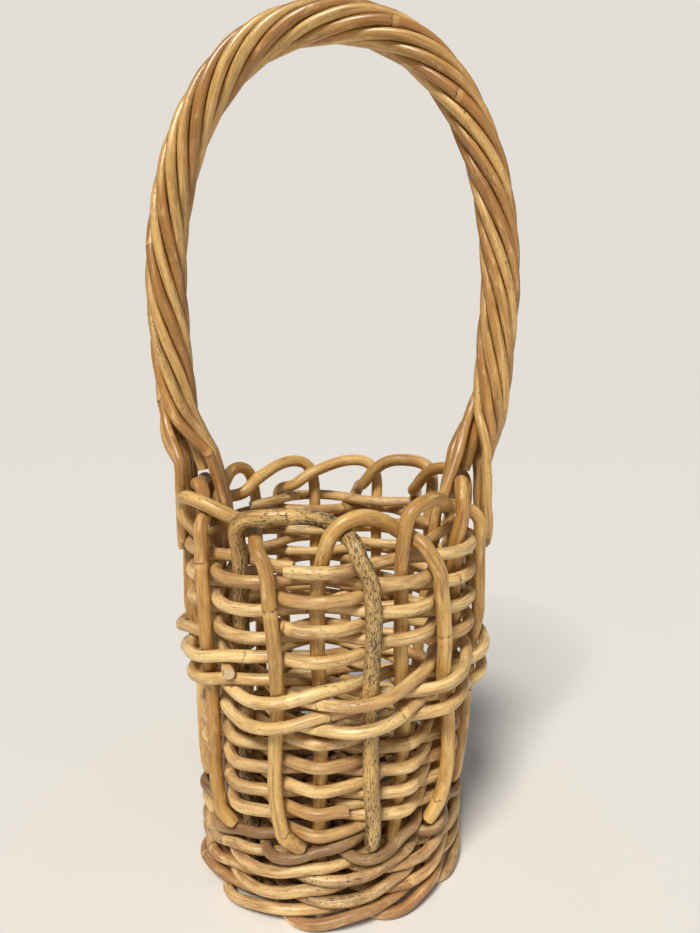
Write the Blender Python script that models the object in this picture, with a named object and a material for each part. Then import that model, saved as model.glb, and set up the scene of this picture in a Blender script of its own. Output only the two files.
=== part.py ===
"""Wine bottle basket: a round, open-topped carrier woven from whole rattan rods.

The basket stands on the ground plane with its axis on Z, in metres. Its front
faces -Y. Every rod is one object, bent along its own path. Eleven stakes rise
from the foot, arch over at the rim and come down again outside the weave.
Weavers fill the sides in two spirals, each of several rods end to end. Waling
rods bind the middle and the foot, a pair of rods closes the foot under the leg
tips, and a roped handle stands on the rim.
"""
import math

import bpy
from mathutils import Vector

# Rods
STAKE_DIAMETER = 0.0068
UPPER_WEAVER_DIAMETER = 0.0055
LOWER_WEAVER_DIAMETER = 0.0054
MIDDLE_WALE_DIAMETER = 0.0054
FOOT_WALE_DIAMETER = 0.0048
BASE_STICK_DIAMETER = 0.0052
BASE_WEAVER_DIAMETER = 0.0046
HANDLE_ROD_DIAMETER = 0.0045

# Clearances: between rods that touch, between rows that lie looser, and under the middle band
FIT_GAP = 0.0003
UPPER_ROW_GAP = 0.00085
WALE_ROW_GAP = 0.0006
FOOT_ROW_GAP = 0.00045
BASE_ROW_GAP = 0.0005
HANDLE_FAN_GAP = 0.0008
MIDDLE_BAND_GAP = 0.0036

# Body: radius of the circle of stakes at the foot, the lower side, the middle and the upper side
FOOT_STAKE_RADIUS = 0.0586
LOWER_STAKE_RADIUS = 0.0612
MIDDLE_STAKE_RADIUS = 0.0622
UPPER_STAKE_RADIUS = 0.0652
STAKE_COUNT = 11
FRONT_STAKE_TURN = math.radians(-5.0)

# Rows of weave, from the ground up; a start is the number of a stake. The weavers are
# rods end to end, and each table counts the stakes that its rods pass.
FOOT_STARTS = (7, 4, 9)
PAIR_START = 6
LOWER_START = 1
LOWER_ROD_PASSES = (22, 26, 26, 22)
MIDDLE_START = -1
MIDDLE_TURN_COUNT = 2
UPPER_START = 1
UPPER_ROD_PASSES = (24, 22, 20, 4)

# Rim and outer legs
ARCH_RISE = 0.0207
FOOT_FLOAT_BULGE = 0.0034

# Base
BASE_UNDERSIDE_HEIGHT = 0.0020
BASE_TURN_COUNT = 4

# Handle, measured on its centre line
HANDLE_TOP_HEIGHT = 0.4108
HANDLE_HALF_WIDTH = 0.0811
HANDLE_WIDEST_HEIGHT = 0.2850
HANDLE_LEAN = 0.0116
HANDLE_ROD_COUNT = 8
HANDLE_INSIDE_COUNT = 3
HANDLE_TWIST_STEPS = 26
HANDLE_SEGMENTS = 30
HANDLE_PATH_STEPS = 60
HANDLE_ROPE_CLEARANCE = 0.0230
HANDLE_TUCK_DEPTH = 0.0120
HANDLE_ROUNDNESS = 2.2

# Shares of one stake spacing: half the flat of a rod at a stake, a waling rod's tail, and where
# a weaver's end and the next one's start lie past a stake
FLAT_SHARE = 0.22
TAIL_SHARE = 0.32
END_SHARE = 0.30
START_SHARE = 0.46
LEG_TIP_SHARE = 0.45
# How far the stakes lean to the right below the middle band, from stake_01 round to the right
STAKE_LEAN_SHARES = (-0.08, 0.03, 0.15, 0.05, -0.04, 0.06, 0.02, -0.06, 0.05, -0.03, -0.04)
# How far each stake's outer leg stands from the middle of its gap: at the rim, on the upper side,
# on the lower side and at its tip
LEG_LEAN_SHARES = (
    (-0.03, 0.03, 0.00, 0.07), (-0.22, -0.05, 0.04, -0.06), (0.00, 0.03, 0.03, 0.10),
    (0.02, -0.04, 0.02, 0.08), (-0.08, 0.04, -0.03, 0.06), (-0.03, 0.00, 0.03, 0.12),
    (0.03, -0.04, -0.02, 0.05), (-0.07, 0.03, 0.03, 0.13), (-0.04, 0.02, 0.01, 0.08),
    (-0.02, 0.05, 0.05, 0.22), (-0.06, 0.05, 0.02, 0.24),
)
# Shares of a rod's reach, of the step between base sticks, and of the handle's tuck
SLANTED_REACH_SHARE = 1.07
CROSSING_SHARE = 1.6
OUTSIDE_TUCK_SHARES = (0.45, 0.80, 1.00, 0.70, 0.35)
INSIDE_TUCK_SHARES = (0.40, 0.60, 0.80)

FOOT_COLOUR = (0.43, 0.23, 0.10)
FOOT_TOP_COLOUR = (0.20, 0.09, 0.045)
STAKE_COLOUR = (0.50, 0.25, 0.08)
WEAVER_COLOUR = (0.58, 0.36, 0.16)
HANDLE_COLOUR = (0.55, 0.28, 0.09)
BASE_COLOUR = (0.40, 0.22, 0.10)
ROD_ROUGHNESS = 0.45
ROUND_RESOLUTION = 1
PLAIN_RESOLUTION = 0

SPACING_ANGLE = 2.0 * math.pi / STAKE_COUNT
STAKE_RADIUS = STAKE_DIAMETER / 2
FOOT_RISE = FOOT_WALE_DIAMETER + FOOT_ROW_GAP
LOWER_PASS_COUNT = sum(LOWER_ROD_PASSES)
UPPER_PASS_COUNT = sum(UPPER_ROD_PASSES)
MIDDLE_RISE = MIDDLE_WALE_DIAMETER + WALE_ROW_GAP
LOWER_PITCH = LOWER_WEAVER_DIAMETER + FIT_GAP
UPPER_PITCH = UPPER_WEAVER_DIAMETER + UPPER_ROW_GAP
BASE_PITCH = BASE_WEAVER_DIAMETER + BASE_ROW_GAP

# Levels of the rods' centre lines, stacked from the ground up
FOOT_LOW_ROW = FOOT_WALE_DIAMETER / 2 + FIT_GAP
PAIR_LOW_ROW = FOOT_LOW_ROW + 2 * FOOT_RISE * len(FOOT_STARTS)
FOOT_TOP_ROW = PAIR_LOW_ROW + FOOT_RISE
LOWER_FIRST_ROW = FOOT_TOP_ROW + (FOOT_WALE_DIAMETER + LOWER_WEAVER_DIAMETER) / 2 + FIT_GAP
SPREAD_ROW = LOWER_FIRST_ROW + 3 * LOWER_PITCH
LOWER_LAST_ROW = LOWER_FIRST_ROW + LOWER_PASS_COUNT / STAKE_COUNT * LOWER_PITCH
MIDDLE_LOW_ROW = (LOWER_LAST_ROW - LOWER_PITCH
                  + (LOWER_WEAVER_DIAMETER + MIDDLE_WALE_DIAMETER) / 2 + MIDDLE_BAND_GAP)
MIDDLE_TOP_ROW = MIDDLE_LOW_ROW + (2 * MIDDLE_TURN_COUNT + 1) * MIDDLE_RISE
MIDDLE_CENTRE = (MIDDLE_LOW_ROW + MIDDLE_TOP_ROW) / 2
UPPER_FIRST_ROW = (MIDDLE_TOP_ROW + (MIDDLE_WALE_DIAMETER + UPPER_WEAVER_DIAMETER) / 2 + FIT_GAP
                   - UPPER_PITCH / 2)
UPPER_LAST_ROW = UPPER_FIRST_ROW + UPPER_PASS_COUNT / STAKE_COUNT * UPPER_PITCH
RIM_CROSSING_HEIGHT = UPPER_LAST_ROW + UPPER_WEAVER_DIAMETER / 2 + STAKE_RADIUS + FIT_GAP
ARCH_HEIGHT = UPPER_LAST_ROW + ARCH_RISE
LEG_TIP_HEIGHT = PAIR_LOW_ROW + LEG_TIP_SHARE * FOOT_RISE + FOOT_WALE_DIAMETER / 2 + FIT_GAP


def blend(start, end, share):
    return start + (end - start) * share


def stake_circle(height):
    """Radius of the circle that the stakes stand on, at a height."""
    levels = (
        (0.0, FOOT_STAKE_RADIUS),
        (PAIR_LOW_ROW, FOOT_STAKE_RADIUS),
        (SPREAD_ROW, LOWER_STAKE_RADIUS),
        (LOWER_LAST_ROW, LOWER_STAKE_RADIUS),
        (MIDDLE_CENTRE, MIDDLE_STAKE_RADIUS),
        (UPPER_FIRST_ROW, UPPER_STAKE_RADIUS),
    )
    for (low, low_radius), (high, high_radius) in zip(levels, levels[1:]):
        if height <= high:
            return blend(low_radius, high_radius, (height - low) / (high - low))
    return UPPER_STAKE_RADIUS


def place_angle(place, height):
    """Angle of a place counted in stake spacings: a whole number is a stake, a half is a gap."""
    first = math.floor(place)
    lean = blend(STAKE_LEAN_SHARES[first % STAKE_COUNT], STAKE_LEAN_SHARES[(first + 1) % STAKE_COUNT],
                 place - first)
    below_band = (UPPER_FIRST_ROW - height) / (UPPER_FIRST_ROW - LOWER_LAST_ROW)
    return FRONT_STAKE_TURN + (place - 1 + lean * min(max(below_band, 0.0), 1.0)) * SPACING_ANGLE


def polar_point(angle, radius, height):
    """A point at an angle from the front, counted to the right."""
    return Vector((radius * math.sin(angle), -radius * math.cos(angle), height))


def wall_point(place, offset, height):
    """A point at a place on the wall, set out from the circle of stakes."""
    return polar_point(place_angle(place, height), stake_circle(height) + offset, height)


def weaver_reach(diameter):
    """Offset of a rod that lies against a stake."""
    return STAKE_RADIUS + diameter / 2 + FIT_GAP


def leg_offset():
    """Offset of the outer legs, which lie where the rods of the weave cross between two stakes."""
    offsets = []
    for diameter, circle in ((UPPER_WEAVER_DIAMETER, UPPER_STAKE_RADIUS),
                             (LOWER_WEAVER_DIAMETER, LOWER_STAKE_RADIUS),
                             (MIDDLE_WALE_DIAMETER, LOWER_STAKE_RADIUS)):
        reach = weaver_reach(diameter)
        slope = 2.0 * reach / ((1.0 - 2.0 * FLAT_SHARE) * circle * SPACING_ANGLE)
        offsets.append(reach * math.sqrt(1.0 + slope * slope))
    return max(offsets)


LEG_OFFSET = leg_offset()


def leaning_offset(lean_share):
    """Offset of an outer leg that leans from the middle of its gap onto the slanting rods."""
    slope = 2.0 * weaver_reach(UPPER_WEAVER_DIAMETER) / (1.0 - 2.0 * FLAT_SHARE)
    return LEG_OFFSET + abs(lean_share) * slope


def smooth_path(points, steps):
    """Points along a Catmull-Rom curve through the given ones."""
    ends = [2 * points[0] - points[1], *points, 2 * points[-1] - points[-2]]
    path = []
    for before, start, end, after in zip(ends, ends[1:], ends[2:], ends[3:]):
        for step in range(steps):
            t = step / steps
            path.append(0.5 * (2 * start + (end - before) * t
                               + (2 * before - 5 * start + 4 * end - after) * t * t
                               + (3 * start - before - 3 * end + after) * t * t * t))
    path.append(points[-1].copy())
    return path


def new_collection(name):
    collection = bpy.data.collections.new(name)
    bpy.context.scene.collection.children.link(collection)
    return collection


def rod_material(name, colour):
    material = bpy.data.materials.new(name)
    material.use_nodes = True
    shader = material.node_tree.nodes["Principled BSDF"]
    shader.inputs["Base Color"].default_value = (*colour, 1.0)
    shader.inputs["Roughness"].default_value = ROD_ROUGHNESS
    shader.inputs["Metallic"].default_value = 0.0
    return material


def add_rod(name, points, diameter, colour, collection, resolution=PLAIN_RESOLUTION):
    """One rod: a tube with closed ends along the points."""
    curve = bpy.data.curves.new(name, "CURVE")
    curve.dimensions = "3D"
    curve.bevel_depth = diameter / 2
    curve.bevel_resolution = resolution
    curve.use_fill_caps = True
    spline = curve.splines.new("POLY")
    spline.points.add(len(points) - 1)
    for spline_point, point in zip(spline.points, points):
        spline_point.co = (*point, 1.0)
    curve.materials.append(rod_material(name, colour))
    collection.objects.link(bpy.data.objects.new(name, curve))


def stake_points(number):
    """One stake: up inside the weave, over the rim as an arch, and down outside it."""
    points = []
    for height in (0.0, PAIR_LOW_ROW, SPREAD_ROW, LOWER_LAST_ROW, MIDDLE_CENTRE, UPPER_FIRST_ROW):
        points.append(wall_point(number, 0.0, height))
    arch_shares = (
        (0.00, 0.00, 0.15), (0.05, 0.00, 0.58), (0.18, -0.08, 0.88), (0.42, -0.34, 1.00),
        (0.72, -0.74, 0.93), (0.95, -1.00, 0.68), (1.12, -0.95, 0.36), (1.27, -0.42, 0.08),
        (1.37, 0.14, 0.00),
    )
    arch = []
    for place_share, inward_share, height_share in arch_shares:
        height = blend(RIM_CROSSING_HEIGHT, ARCH_HEIGHT, height_share)
        offset = inward_share * (STAKE_DIAMETER + FIT_GAP)
        arch.append(wall_point(number + place_share, offset, height))
    rim_lean, upper_lean, lower_lean, tip_lean = LEG_LEAN_SHARES[number]
    shoulder_shares = ((1.455, 0.74, 0.25), (1.495, 1.00, 0.80))
    for place_share, outward_share, drop_share in shoulder_shares:
        height = RIM_CROSSING_HEIGHT - drop_share * 2 * STAKE_DIAMETER
        place = number + place_share + blend(rim_lean, upper_lean, drop_share)
        arch.append(wall_point(place, outward_share * leaning_offset(upper_lean), height))
    points.extend(smooth_path(arch, 2))
    upper_middle = (UPPER_FIRST_ROW + UPPER_LAST_ROW) / 2
    lower_middle = (SPREAD_ROW + LOWER_LAST_ROW) / 2
    leg_leans = ((upper_middle, upper_lean), (UPPER_FIRST_ROW, 0.0), (MIDDLE_CENTRE, 0.0),
                 (LOWER_LAST_ROW, 0.0), (lower_middle, lower_lean), (SPREAD_ROW, lower_lean))
    for height, lean in leg_leans:
        points.append(wall_point(number + 1.5 + lean, leaning_offset(lean), height))
    bend_lean = blend(lower_lean, tip_lean, 0.3)
    points.append(wall_point(number + 1.5 + bend_lean, leaning_offset(lower_lean), LOWER_FIRST_ROW))
    points.append(wall_point(number + 1.5 + tip_lean, leaning_offset(lower_lean), LEG_TIP_HEIGHT))
    return points


def cut_path(stations, first, last):
    """The part of a path between two measures, from stations of a measure and a point."""
    points = []
    for (low, start), (high, end) in zip(stations, stations[1:]):
        if low < first < high:
            points.append(start.lerp(end, (first - low) / (high - low)))
        if first <= high <= last:
            points.append(end)
        if low < last < high:
            points.append(start.lerp(end, (last - low) / (high - low)))
    return points


def side_offset(outside, height, diameter):
    """Offset of both ends of a rod's flat at a stake, so that its middle just clears the stake."""
    if not outside:
        return -weaver_reach(diameter)
    reach = weaver_reach(diameter)
    return reach + (1.0 / math.cos(FLAT_SHARE * SPACING_ANGLE) - 1.0) * (stake_circle(height) + reach)


def randing_points(start, first_step, last_step, first_height, pitch, diameter):
    """A weaver that spirals up, in front of one stake and behind the next.

    Steps are counted in stakes passed since the start of the spiral. The rod runs from one
    step to another, which may lie between two stakes.
    """
    stations = []
    for step in range(math.floor(first_step) - 1, math.ceil(last_step) + 2):
        for flat in (-FLAT_SHARE, FLAT_SHARE):
            height = first_height + (step + flat) / STAKE_COUNT * pitch
            offset = side_offset(step % 2 == 0, height, diameter)
            stations.append((step + flat, wall_point(start + step + flat, offset, height)))
    return cut_path(stations, first_step, last_step)


def add_weavers(name, start, rod_passes, first_height, pitch, diameter, resolution, basket):
    """The rods of one spiral, end to end: each stops just past a stake, outside the wall."""
    passed = 0
    for number, pass_count in enumerate(rod_passes):
        first_step = passed + START_SHARE if number else -FLAT_SHARE
        passed += pass_count
        last_step = passed + (END_SHARE if number < len(rod_passes) - 1 else FLAT_SHARE)
        points = randing_points(start, first_step, last_step, first_height, pitch, diameter)
        add_rod(f"{name}_{number + 1}", points, diameter, WEAVER_COLOUR, basket, resolution)


def between_stations(stations, place_share):
    """Offset and climb at a place in the three-stake pattern, which closes on itself."""
    closed = [*stations, (3.0, *stations[0][1:])]
    for (low, low_offset, low_climb), (high, high_offset, high_climb) in zip(closed, closed[1:]):
        if place_share <= high:
            share = (place_share - low) / (high - low)
            return blend(low_offset, high_offset, share), blend(low_climb, high_climb, share)
    return stations[0][1:]


def pairing_points(start, first_step, last_step, low_height, rise, diameter):
    """One of a pair of rods: it climbs across the front of one stake and sinks behind the next."""
    stations = []
    for step in range(math.floor(first_step) - 1, math.ceil(last_step) + 2):
        outside = step % 2 == 0
        for flat in (-0.5, -FLAT_SHARE, FLAT_SHARE):
            climb_share = 0.5 + flat if outside else 0.5 - flat
            height = low_height + climb_share * rise
            offset = 0.0 if flat == -0.5 else side_offset(outside, height, diameter)
            stations.append((step + flat, wall_point(start + step + flat, offset, height)))
    return cut_path(stations, first_step, last_step)


def waling_points(start, end, low_height, rise, turn_rise, diameter, float_offset):
    """A waling rod: it floats outside two stakes, climbs, and goes back inside the third.

    It comes out of the gap at start and goes in at the gap at end. Halfway along a
    float it lies at float_offset, over the outer leg or over the rods beside it.
    """
    reach = weaver_reach(diameter)
    stations = (
        (0.00, -SLANTED_REACH_SHARE * reach, 0.50), (0.50, 0.0, 0.0),
        (1.00, blend(reach, float_offset, 0.15), 0.0), (1.38, float_offset, 0.08),
        (1.62, float_offset, 0.30), (2.00, blend(reach, float_offset, 0.30), 1.0),
        (2.50, 0.0, 1.0),
    )
    first = start - TAIL_SHARE
    last = end + TAIL_SHARE
    places = [first]
    for period in range(math.ceil((end - start) / 3) + 1):
        for place_share, _, _ in stations:
            place = start - 0.5 + 3 * period + place_share
            if first < place < last:
                places.append(place)
    places.append(last)
    points = []
    for place in places:
        offset, climb_share = between_stations(stations, (place - start + 0.5) % 3)
        height = low_height + climb_share * rise + (place - start) / STAKE_COUNT * turn_rise
        points.append(wall_point(place, offset, height))
    return points


def waling_rods(start, turns, low_height, rise, turn_rise, diameter, float_offset):
    """The three rods of a wale, each starting one gap after the last."""
    float_count = turns * STAKE_COUNT
    for number in range(3):
        floats = (float_count - number - 1) // 3
        rod_start = start + 0.5 + number
        rod_end = rod_start + 3 * floats + 2
        rod_low = low_height + number / STAKE_COUNT * turn_rise
        yield waling_points(rod_start, rod_end, rod_low, rise, turn_rise, diameter, float_offset)


def add_side(basket):
    for number in range(STAKE_COUNT):
        add_rod(f"stake_{number + 1:02d}", stake_points(number), STAKE_DIAMETER, STAKE_COLOUR, basket,
                ROUND_RESOLUTION)
    add_weavers("lower_side_weaver", LOWER_START, LOWER_ROD_PASSES, LOWER_FIRST_ROW, LOWER_PITCH,
                LOWER_WEAVER_DIAMETER, PLAIN_RESOLUTION, basket)
    add_weavers("upper_side_weaver", UPPER_START, UPPER_ROD_PASSES, UPPER_FIRST_ROW, UPPER_PITCH,
                UPPER_WEAVER_DIAMETER, ROUND_RESOLUTION, basket)


def add_wales(basket):
    float_offset = LEG_OFFSET + weaver_reach(MIDDLE_WALE_DIAMETER)
    rods = waling_rods(MIDDLE_START, MIDDLE_TURN_COUNT, MIDDLE_LOW_ROW, MIDDLE_RISE, 2 * MIDDLE_RISE,
                       MIDDLE_WALE_DIAMETER, float_offset)
    for number, points in enumerate(rods):
        add_rod(f"middle_wale_rod_{number + 1}", points, MIDDLE_WALE_DIAMETER, WEAVER_COLOUR, basket,
                ROUND_RESOLUTION)
    foot_offset = weaver_reach(FOOT_WALE_DIAMETER) + FOOT_FLOAT_BULGE
    for level, start in enumerate(FOOT_STARTS):
        low_height = FOOT_LOW_ROW + 2 * FOOT_RISE * level
        rods = waling_rods(start, 1, low_height, FOOT_RISE, 0.0, FOOT_WALE_DIAMETER, foot_offset)
        for number, points in enumerate(rods):
            name = f"foot_wale_{level + 1}_rod_{number + 1}"
            add_rod(name, points, FOOT_WALE_DIAMETER, FOOT_COLOUR, basket)
    for number in range(2):
        last_step = STAKE_COUNT - 1 - number % 2 + TAIL_SHARE
        points = pairing_points(PAIR_START + number, -TAIL_SHARE, last_step, PAIR_LOW_ROW, FOOT_RISE,
                                FOOT_WALE_DIAMETER)
        add_rod(f"foot_pair_rod_{number + 1}", points, FOOT_WALE_DIAMETER, FOOT_TOP_COLOUR, basket)


def base_levels():
    """Height of the base's middle, and the swing of its weaver over and under a stick."""
    swing = (BASE_STICK_DIAMETER + BASE_WEAVER_DIAMETER) / 2 + FIT_GAP
    return BASE_UNDERSIDE_HEIGHT + BASE_WEAVER_DIAMETER / 2 + swing, swing


def base_last_row():
    """Radius of the outermost row of the base, just inside the foot wale."""
    wale_inside = (FOOT_STAKE_RADIUS - SLANTED_REACH_SHARE * weaver_reach(FOOT_WALE_DIAMETER)
                   - FOOT_WALE_DIAMETER / 2)
    return wale_inside - FIT_GAP - BASE_WEAVER_DIAMETER / 2


def base_stick_points(first_end, second_end, direction, side_step, layer):
    """A base stick between two gaps of the wall, straight where the sticks cross.

    A half stick has no second end and stops in the middle of the base.
    """
    height, _ = base_levels()
    stick_step = BASE_STICK_DIAMETER + FIT_GAP
    slope = 2 * weaver_reach(FOOT_WALE_DIAMETER) / (FOOT_STAKE_RADIUS * SPACING_ANGLE)
    wale_depth = (slope * BASE_STICK_DIAMETER / 2
                  + FOOT_WALE_DIAMETER / 2 * math.sqrt(1.0 + slope * slope))
    end_radius = FOOT_STAKE_RADIUS - wale_depth - FIT_GAP
    first_row = base_last_row() - BASE_TURN_COUNT * BASE_PITCH
    crossing = CROSSING_SHARE * stick_step
    along = polar_point(direction, 1.0, 0.0)
    across = polar_point(direction + math.pi / 2, side_step * stick_step, 0.0)
    middle = Vector((0.0, 0.0, height + layer * stick_step / 2))
    points = []
    for radius in (end_radius, first_row):
        points.append(polar_point(place_angle(first_end + 0.5, height), radius, height))
    points.append(middle + across + along * crossing)
    points.append(middle + across - along * crossing)
    if second_end is not None:
        for radius in (first_row, end_radius):
            points.append(polar_point(place_angle(second_end + 0.5, height), radius, height))
    return points


def add_base(basket):
    """Two bundles of sticks cross and fan out to the gaps of the wall, with one weaver on them."""
    upper_count = round(STAKE_COUNT / 4)
    lower_count = STAKE_COUNT // 2 - upper_count
    bundles = ((0, upper_count, 1), (upper_count, lower_count, -1))
    number = 0
    for first, count, layer in bundles:
        far = first + count + (lower_count if layer > 0 else upper_count)
        spare = STAKE_COUNT - 2 * (upper_count + lower_count) if layer < 0 else 0
        direction = place_angle(first + 0.5 + (count - 1) / 2, 0.0)
        for step in range(count):
            number += 1
            side_step = step - (count - 1) / 2
            points = base_stick_points(first + step, far + spare + count - 1 - step, direction,
                                       side_step, layer)
            add_rod(f"base_stick_{number}", points, BASE_STICK_DIAMETER, BASE_COLOUR, basket)
        if spare:
            number += 1
            points = base_stick_points(far, None, direction + math.pi, -(count + 1) / 2, layer)
            add_rod(f"base_half_stick_{number}", points, BASE_STICK_DIAMETER, BASE_COLOUR, basket)
    height, swing = base_levels()
    last_row = base_last_row()
    points = []
    for step in range(BASE_TURN_COUNT * STAKE_COUNT + 1):
        side = 1.0 if step % 2 == 0 else -1.0
        for flat in (-FLAT_SHARE, FLAT_SHARE):
            radius = last_row - (BASE_TURN_COUNT - (step + flat) / STAKE_COUNT) * BASE_PITCH
            angle = place_angle(step + flat + 0.5, height)
            points.append(polar_point(angle, radius, height + side * swing))
    add_rod("base_weaver", points, BASE_WEAVER_DIAMETER, BASE_COLOUR, basket)


def handle_centre():
    """Centre line of the roped part of the handle, evenly stepped from left to right."""
    foot_height = ARCH_HEIGHT + HANDLE_ROPE_CLEARANCE
    foot_half_width = UPPER_STAKE_RADIUS + LEG_OFFSET
    drawn_in = HANDLE_HALF_WIDTH - foot_half_width
    crown = HANDLE_TOP_HEIGHT - HANDLE_WIDEST_HEIGHT

    def leaning(x, z):
        lean_share = (z - RIM_CROSSING_HEIGHT) / (HANDLE_TOP_HEIGHT - RIM_CROSSING_HEIGHT)
        return Vector((x, HANDLE_LEAN * lean_share, z))

    left = []
    for step in range(HANDLE_PATH_STEPS):
        height = blend(foot_height, HANDLE_WIDEST_HEIGHT, step / HANDLE_PATH_STEPS)
        below = (HANDLE_WIDEST_HEIGHT - height) / (HANDLE_WIDEST_HEIGHT - ARCH_HEIGHT)
        left.append(leaning(-HANDLE_HALF_WIDTH + drawn_in * below * below, height))
    for step in range(HANDLE_PATH_STEPS):
        turn = math.pi / 2 * step / HANDLE_PATH_STEPS
        x = -HANDLE_HALF_WIDTH * math.cos(turn) ** (2 / HANDLE_ROUNDNESS)
        left.append(leaning(x, HANDLE_WIDEST_HEIGHT + crown * math.sin(turn) ** (2 / HANDLE_ROUNDNESS)))
    right = [Vector((-point.x, point.y, point.z)) for point in reversed(left)]
    dense = [*left, leaning(0.0, HANDLE_TOP_HEIGHT), *right]
    lengths = [0.0]
    for start, end in zip(dense, dense[1:]):
        lengths.append(lengths[-1] + (end - start).length)
    centre = []
    index = 0
    for station in range(HANDLE_SEGMENTS + 1):
        target = lengths[-1] * station / HANDLE_SEGMENTS
        while index < len(dense) - 2 and lengths[index + 1] < target:
            index += 1
        share = (target - lengths[index]) / (lengths[index + 1] - lengths[index])
        centre.append(dense[index].lerp(dense[index + 1], share))
    return centre


def rope_radius(centre):
    """Radius of the circle of handle rods, so that neighbours just clear each other."""
    length = sum((end - start).length for start, end in zip(centre, centre[1:]))
    twist = 2 * math.pi * HANDLE_TWIST_STEPS / HANDLE_ROD_COUNT
    chord_share = math.cos(twist / HANDLE_SEGMENTS / 2)
    radius = 0.0
    for _ in range(8):
        slant_share = 1.0 / math.sqrt(1.0 + (radius * twist / length) ** 2)
        spread = 2 * math.sin(math.pi / HANDLE_ROD_COUNT) * slant_share * chord_share
        radius = (HANDLE_ROD_DIAMETER + FIT_GAP) / spread
    return radius


def foot_angles(side):
    """Angles at which the rods outside the rim end, side by side and clear of the outer legs."""
    handle_angle = side * math.pi / 2
    lie = UPPER_STAKE_RADIUS + weaver_reach(UPPER_WEAVER_DIAMETER) + UPPER_WEAVER_DIAMETER / 2
    step = (HANDLE_ROD_DIAMETER + HANDLE_FAN_GAP) / lie
    leg_clear = ((STAKE_DIAMETER + HANDLE_ROD_DIAMETER) / 2 + FIT_GAP) / lie
    count = HANDLE_ROD_COUNT - HANDLE_INSIDE_COUNT
    nearest = round((handle_angle - place_angle(0, ARCH_HEIGHT)) / SPACING_ANGLE * 2) / 2
    if nearest == int(nearest):
        return [place_angle(nearest, ARCH_HEIGHT) + side * (number - (count - 1) / 2) * step
                for number in range(count)]
    front_count = count // 2
    angles = []
    for number in range(count):
        if number < front_count:
            angles.append(place_angle(nearest, ARCH_HEIGHT) - side * (leg_clear + (front_count - 1 - number) * step))
        else:
            angles.append(place_angle(nearest, ARCH_HEIGHT) + side * (leg_clear + (number - front_count) * step))
    return angles


def handle_foot(side, turn_step):
    """The points of one handle rod below the roped part, from the rim down to its end.

    Turn step 0 is the outermost rod of the rope, and positive steps go towards the back.
    """
    outside_count = HANDLE_ROD_COUNT - HANDLE_INSIDE_COUNT
    half = (outside_count - 1) // 2
    rod_radius = HANDLE_ROD_DIAMETER / 2
    sagitta = 1.0 / math.cos(FLAT_SHARE * SPACING_ANGLE)
    reach = weaver_reach(UPPER_WEAVER_DIAMETER)
    if abs(turn_step) <= half:
        angle = foot_angles(side)[turn_step + half]
        lie = ((UPPER_STAKE_RADIUS + reach) * sagitta + UPPER_WEAVER_DIAMETER / 2
               + FIT_GAP + rod_radius)
        tuck_share = OUTSIDE_TUCK_SHARES[(turn_step + half) % len(OUTSIDE_TUCK_SHARES)]
        levels = ((ARCH_HEIGHT + STAKE_RADIUS, lie), (RIM_CROSSING_HEIGHT, lie),
                  (UPPER_LAST_ROW - tuck_share * HANDLE_TUCK_DEPTH, lie))
    else:
        inner_step = (turn_step - HANDLE_ROD_COUNT // 2) if turn_step > 0 else (
            turn_step + HANDLE_ROD_COUNT // 2)
        arch_centre = UPPER_STAKE_RADIUS - STAKE_DIAMETER - FIT_GAP
        arch_inside = arch_centre - STAKE_RADIUS - FIT_GAP - rod_radius
        tuck_share = INSIDE_TUCK_SHARES[(inner_step + 1) % len(INSIDE_TUCK_SHARES)]
        weave_inside = (UPPER_STAKE_RADIUS - reach - UPPER_WEAVER_DIAMETER / 2 - FIT_GAP
                        - rod_radius)
        step = (HANDLE_ROD_DIAMETER + HANDLE_FAN_GAP) / arch_inside
        angle = side * (math.pi / 2 - inner_step * step)
        levels = ((ARCH_HEIGHT, arch_inside), (RIM_CROSSING_HEIGHT, arch_inside),
                  (UPPER_LAST_ROW - tuck_share * HANDLE_TUCK_DEPTH, weave_inside))
    return [polar_point(angle, radius, height) for height, radius in levels]


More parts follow.
